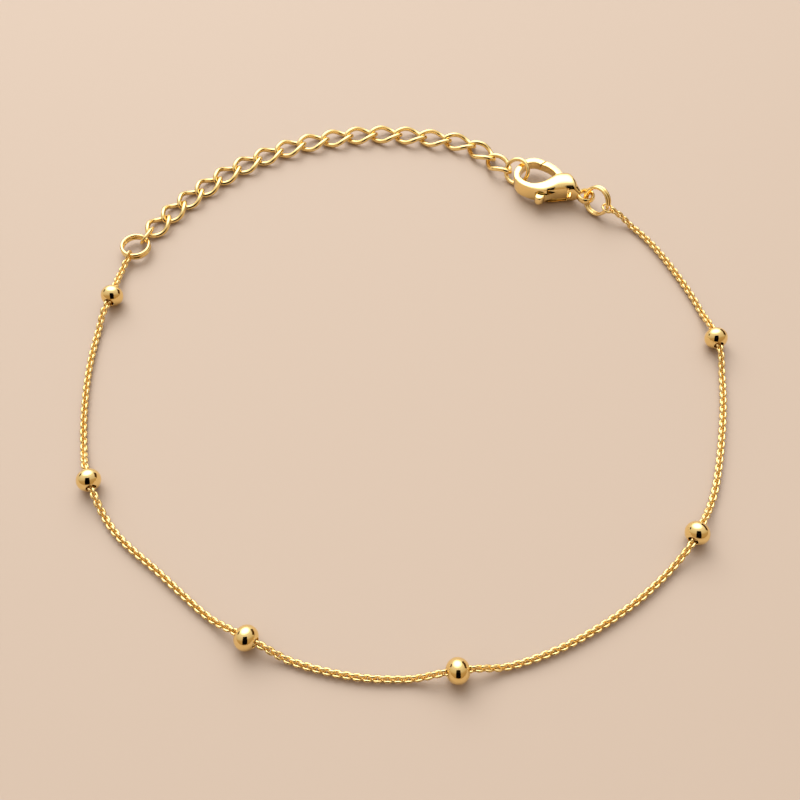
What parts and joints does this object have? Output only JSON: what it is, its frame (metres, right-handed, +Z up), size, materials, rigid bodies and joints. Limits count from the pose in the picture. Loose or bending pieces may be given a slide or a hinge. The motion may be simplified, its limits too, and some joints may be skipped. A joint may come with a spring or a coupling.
{
  "type": "bead chain bracelet",
  "caption": "Gold bracelet of round drilled beads spaced along a fine chain, closed by a lobster clasp on a run of curb links, lying in a loop.",
  "frame": {"origin": "middle of the box that the loop lies in, on the table under it", "axes": "+Z up off the table; +Y from the beads at the near side of the loop to the curb links at its far side; +X to the clasp's side"},
  "size_m": [0.0654, 0.0692, 0.0034],
  "materials": {
    "beads": "polished",
    "fine_chain": "polished",
    "rings": "polished",
    "extender": "polished",
    "clasp_body": "polished",
    "clasp_lever": "polished",
    "clasp_pin": "polished"
  },
  "bodies": {
    "bracelet": {"bead_1": "beads", "bead_2": "beads", "bead_3": "beads", "bead_4": "beads", "bead_5": "beads", "bead_6": "beads", "fine_chain": "fine_chain", "chain_end_link_left": "rings", "chain_end_link_right": "rings", "jump_ring_left": "rings", "jump_ring_right": "rings", "extender_link_00": "extender", "extender_link_01": "extender", "extender_link_02": "extender", "extender_link_03": "extender", "extender_link_04": "extender", "extender_link_05": "extender", "extender_link_06": "extender", "extender_link_07": "extender", "extender_link_08": "extender", "extender_link_09": "extender", "extender_link_10": "extender", "extender_link_11": "extender", "extender_link_12": "extender", "extender_link_13": "extender", "extender_link_14": "extender", "extender_link_15": "extender", "extender_link_16": "extender", "extender_link_17": "extender", "extender_end_ring": "rings", "clasp_body": "clasp_body", "clasp_pin": "clasp_pin"},
    "lever": {"clasp_lever": "clasp_lever"}
  },
  "joints": [
    {"name": "lever_pivot", "type": "hinge", "parent": "bracelet", "child": "lever", "pos_m": [0.01774, 0.02442, 0.0014], "axis": [0, 0, 1], "range_deg": [0, 18], "stiffness_Nm_per_rad": 0.004, "springref_deg": -6.88}
  ]
}
